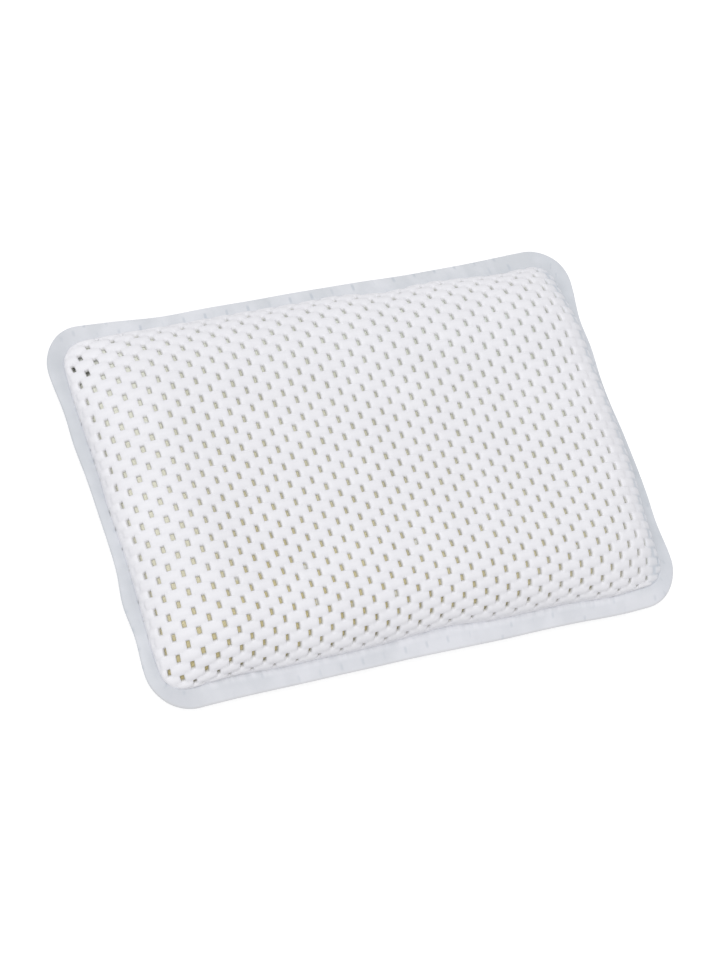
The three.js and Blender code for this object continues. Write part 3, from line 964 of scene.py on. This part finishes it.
def startFinish(name, values):
    # a material with the grain placed in it
    material = bpy.data.materials.new(name)
    material.use_nodes = True
    tree = material.node_tree
    for socket, value in values["shader"].items():
        feed(tree, tree.nodes["Principled BSDF"].inputs[socket], value)
    inputs = {"Place": objectPlace(tree), **values["grain"]}
    placed = addNode(tree, "Group", inputs, node_tree=grainGroup)
    return material, tree, placed.outputs["Tone"], placed.outputs["Relief"]


def endFinish(material, colour, height, values):
    # relief is how strong and how deep, in millimetres
    tree, (strength, depth) = material.node_tree, values["relief"]
    inputs = {"Strength": strength, "Distance": depth * mm, "Height": height}
    sockets = tree.nodes["Principled BSDF"].inputs
    feed(tree, sockets["Normal"], addNode(tree, "Bump", inputs).outputs["Normal"])
    feed(tree, sockets["Base Color"], colour)
    return material


foamedVinyl = {
    "dark": (0.84, 0.84, 0.87),
    "pale": (0.915, 0.915, 0.945),
    "shader": {"Roughness": 0.62, "Specular IOR Level": 0.25},
    "grain": {"Fineness": 1900, "Patchiness": 0.9},
    "relief": (0.5, 0.05),
    # painted shade darkens it down inside the gaps, and it is glassier where it runs into the weld
    "layers": (
        ((0.58, 0.575, 0.505), ("hollow", 0, 1, 0, 0.8)),
        ((0.565, 0.625, 0.69), ("fused", 0, 1, 0, 0.8)),
    ),
}


def makeFoamedVinyl():
    f = foamedVinyl
    material, tree, tone, relief = startFinish("foamedVinyl", f)
    over = {name: noted(tree, name) for name in ("hollow", "fused")}
    colour = layered(tree, mixed(tree, tone, f["dark"], f["pale"]), f["layers"], over)
    return endFinish(material, colour, relief, f)


fusedVinyl = {
    "dark": (0.62, 0.65, 0.68),
    "pale": (0.765, 0.785, 0.82),
    "shader": {"Roughness": 0.42, "Specular IOR Level": 0.4},
    "grain": {"Fineness": 700, "Patchiness": 3.6},
    "relief": (0.6, 0.05),
    "grainShare": 0.12,  # of the relief, beside the marks and ribs
    # noise round the rim, scale and detail: clouds of tone, which marks are left, patches of
    # painted shade, ticks that break up the painted light on the near side
    "clouds": (95, 2),
    "cloudShare": 1.7,
    "leftMarks": (140, 1),
    "patches": (60, 2),
    "ticks": (260, 2),
    # marks: spans of gap pitches and of rows off a gap's middle, of the noise, and of rows
    "markAlong": (0.03, 0.09, 1, 0),
    "markAcross": (0.14, 0.38, 1, 0),
    "markLeft": (0.42, 0.6, 0, 1),  # most of them are melted away
    "markFar": (20, 23, 0.6, 1),  # and those on the far side are clearer
    "rib": (0.3, 0.5, 0, 0.35),
    "layers": (
        # slow changes of colour towards the four sides, with places in metres
        ((0.79, 0.795, 0.835), ("Y", -0.07, -0.105, 0, 0.6)),
        ((0.79, 0.8, 0.84), ("Y", 0.085, 0.1, 0, 0.25)),
        ((0.625, 0.665, 0.72), ("X", 0.135, 0.15, 0, 0.35)),
        ((0.6, 0.62, 0.66), ("X", -0.13, -0.15, 0, 0.56)),
        ((0.46, 0.51, 0.57), ("mark", 0, 1, 0, 0.52)),
        # painted patches of shade beside the net, except on the near side
        (
            (0.55, 0.575, 0.61),
            ("across", 0.3, 0.9, 0.5, 0),
            ("patches", 0.38, 0.6, 0.15, 1),
            ("Y", -0.1, -0.085, 0, 1),
            ("Y", 0.085, 0.1, 1, 0.2),
        ),
        # painted light beside the net on the near side, paling the shade in the crease there, and
        # a greyer band on the lip there
        (
            (0.95, 0.95, 0.98),
            ("across", 0.05, 0.4, 0.66, 0),
            ("Y", -0.085, -0.093, 0, 1),
            ("X", 0.11, 0.135, 1, 0),
            ("X", -0.145, -0.12, 0, 1),
            ("ticks", 0.4, 0.6, 0.4, 1),
        ),
        ((0.66, 0.66, 0.655), ("across", 0.88, 0.95, 0, 0.35), ("Y", -0.085, -0.093, 0, 1)),
    ),
}


def makeFusedVinyl():
    f = fusedVinyl
    material, tree, tone, relief = startFinish("fusedVinyl", f)
    # how far off a gap's middle a place is; every other row is half a pitch along, and the
    # hundred keeps what is rounded above zero
    u, v = parted(tree, noted(tree, "netPlace", "Vector"))
    row = addMath(tree, "ROUND", v)
    halfStep = addMath(tree, "MULTIPLY", addMath(tree, "FLOORED_MODULO", row, 2), 0.5)
    turned = addMath(tree, "ADD", addMath(tree, "ADD", u, halfStep), 100.5)
    turned = addMath(tree, "FRACT", turned)
    offGap = addMath(tree, "ABSOLUTE", addMath(tree, "SUBTRACT", turned, 0.5))
    offRow = addMath(tree, "ABSOLUTE", addMath(tree, "SUBTRACT", v, row))
    # the net's flattened gaps show as faint marks that carry on its rows
    rim = noted(tree, "rimPlace", "Vector")
    mark = product(
        tree,
        spanned(tree, offGap, *f["markAlong"]),
        spanned(tree, offRow, *f["markAcross"]),
        spanned(tree, addNoise(tree, rim, *f["leftMarks"]), *f["markLeft"]),
        spanned(tree, v, *f["markFar"]),
    )
    tone = swung(tree, addNoise(tree, rim, *f["clouds"]), f["cloudShare"], tone)
    x, y = parted(tree, objectPlace(tree))
    over = {"X": x, "Y": y, "mark": mark, "across": noted(tree, "acrossRim")}
    over.update({name: addNoise(tree, rim, *f[name]) for name in ("patches", "ticks")})
    colour = layered(tree, mixed(tree, tone, f["dark"], f["pale"]), f["layers"], over)
    height = addMath(tree, "MULTIPLY", relief, f["grainShare"])
    for groove in (mark, spanned(tree, offRow, *f["rib"])):
        height = addMath(tree, "SUBTRACT", height, groove)
    return endFinish(material, colour, height, f)


openFoam = {
    "warmDark": (0.58, 0.495, 0.25),
    "warmPale": (0.76, 0.685, 0.41),
    "coolDark": (0.68, 0.715, 0.64),
    "coolPale": (0.86, 0.92, 0.91),
    # it cools along Y and as much of X as this, over this span in metres
    "coolLean": 0.35,
    "cool": (-0.095, 0.1, 0, 1),
    "shader": {"Roughness": 0.9, "Specular IOR Level": 0.1},
    "grain": {"Fineness": 900, "Patchiness": 1.6},
    "relief": (0.8, 0.5),
    "spots": (130, 2),
    "layers": (
        # paler at the right-hand end, on the left, on the far side, and in a few fluffy spots
        ((0.85, 0.88, 0.9), ("X", 0.122, 0.143, 0, 0.85)),
        ((0.93, 0.95, 0.88), ("X", -0.09, -0.13, 0, 0.58), ("Y", -0.085, -0.03, 0, 1)),
        ((0.93, 0.95, 0.88), ("Y", 0.05, 0.085, 0, 0.55)),
        ((0.85, 0.88, 0.9), ("spots", 0.64, 0.72, 0, 0.7)),
    ),
}


def makeOpenFoam():
    # warmer towards the near left corner and cooler towards the far right one
    f = openFoam
    material, tree, tone, relief = startFinish("openFoam", f)
    x, y = parted(tree, objectPlace(tree))
    cool = spanned(tree, addMath(tree, "MULTIPLY_ADD", x, f["coolLean"], y), *f["cool"])
    warmTone = mixed(tree, tone, f["warmDark"], f["warmPale"])
    coolTone = mixed(tree, tone, f["coolDark"], f["coolPale"])
    over = {"X": x, "Y": y, "spots": addNoise(tree, objectPlace(tree), *f["spots"])}
    colour = layered(tree, mixed(tree, cool, warmTone, coolTone), f["layers"], over)
    return endFinish(material, colour, relief, f)


clearVinyl = {
    "dark": (0.78, 0.88, 0.92),
    "pale": (0.86, 0.93, 0.96),
    "shader": {
        "Roughness": 0.14,
        "Specular IOR Level": 0.5,
        "Transmission Weight": 0.82,
        "IOR": 1.5,
    },
    "grain": {"Fineness": 260, "Patchiness": 1.2},
    "relief": (0.3, 0.05),
}


def makeClearVinyl():
    f = clearVinyl
    material, tree, tone, relief = startFinish("clearVinyl", f)
    return endFinish(material, mixed(tree, tone, f["dark"], f["pale"]), relief, f)


netFinish, cupFinish = makeFoamedVinyl(), makeClearVinyl()
for piece, finish in (
    (topMeshCover, netFinish),
    (backMeshCover, netFinish),
    (weldedBorder, makeFusedVinyl()),
    (foamCore, makeOpenFoam()),
    *((piece, cupFinish) for piece in cupPieces),
):
    piece.data.materials.append(finish)
print("finishes made")


# studio: a white floor and world, one large soft lamp

studio = {
    "floorHalf": 6,
    "floorColour": (0.8, 0.8, 0.8),
    "floorGlow": 0.8,  # light that the camera sees on top of what the lamps give
    "floorShade": (0.36, 0.36, 0.36),
    "worldStrength": 0.65,
    "worldColour": (0.99, 0.985, 1.0),
    "sunStrength": 1.08,
    "sunSpread": 38,
    "sunFrom": (-0.45, 0.04, 1.0),
}


def seenStraight(tree):
    # 1 for what the camera sees, also in or through something clear
    path = addNode(tree, "LightPath")
    seen = addMath(tree, "MAXIMUM", path.outputs["Is Camera Ray"], path.outputs["Is Glossy Ray"])
    return addMath(tree, "MAXIMUM", seen, path.outputs["Is Transmission Ray"])


def chosen(tree, share, first, second):
    return addNode(tree, "MixShader", {0: share, 1: first, 2: second}).outputs[0]


def makeFloor():
    half = studio["floorHalf"]
    corners = [(-half, -half, 0), (half, -half, 0), (half, half, 0), (-half, half, 0)]
    mesh = bpy.data.meshes.new("floor")
    mesh.from_pydata(corners, [], [(0, 1, 2, 3)])
    floor = addObject("floor", mesh)
    material = bpy.data.materials.new("whiteFloor")
    material.use_nodes = True
    tree = material.node_tree
    tree.nodes.remove(tree.nodes["Principled BSDF"])
    plain = addNode(tree, "BsdfDiffuse", {"Color": studio["floorColour"]}).outputs[0]
    shade = addNode(tree, "BsdfDiffuse", {"Color": studio["floorShade"]}).outputs[0]
    glow = addNode(tree, "Emission", {"Strength": studio["floorGlow"]}).outputs[0]
    bright = addNode(tree, "AddShader", {0: shade, 1: glow}).outputs[0]
    above = chosen(tree, seenStraight(tree), plain, bright)
    # from below the floor is not there, so the back can be looked at
    below = addNode(tree, "BsdfTransparent").outputs[0]
    backfacing = addNode(tree, "NewGeometry").outputs["Backfacing"]
    whole = chosen(tree, backfacing, above, below)
    tree.links.new(whole, tree.nodes["Material Output"].inputs["Surface"])
    mesh.materials.append(material)


def makeWorld():
    world = bpy.data.worlds.new("studioWorld")
    bpy.context.scene.world = world
    world.use_nodes = True
    tree = world.node_tree
    soft = tree.nodes["Background"]
    soft.inputs["Color"].default_value = (*studio["worldColour"], 1)
    soft.inputs["Strength"].default_value = studio["worldStrength"]
    white = addNode(tree, "Background", {"Color": (1, 1, 1)})
    whole = chosen(tree, seenStraight(tree), soft.outputs[0], white.outputs[0])
    tree.links.new(whole, tree.nodes["World Output"].inputs["Surface"])


def makeSun():
    data = bpy.data.lights.new("softSun", "SUN")
    data.energy = studio["sunStrength"]
    data.angle = math.radians(studio["sunSpread"])
    lamp = addObject("softSun", data)
    lamp.rotation_mode = "QUATERNION"
    lamp.rotation_quaternion = Vector(studio["sunFrom"]).to_track_quat("Z", "Y")


makeFloor()
makeWorld()
makeSun()
bpy.context.scene.view_settings.view_transform = "Standard"
print("studio made")
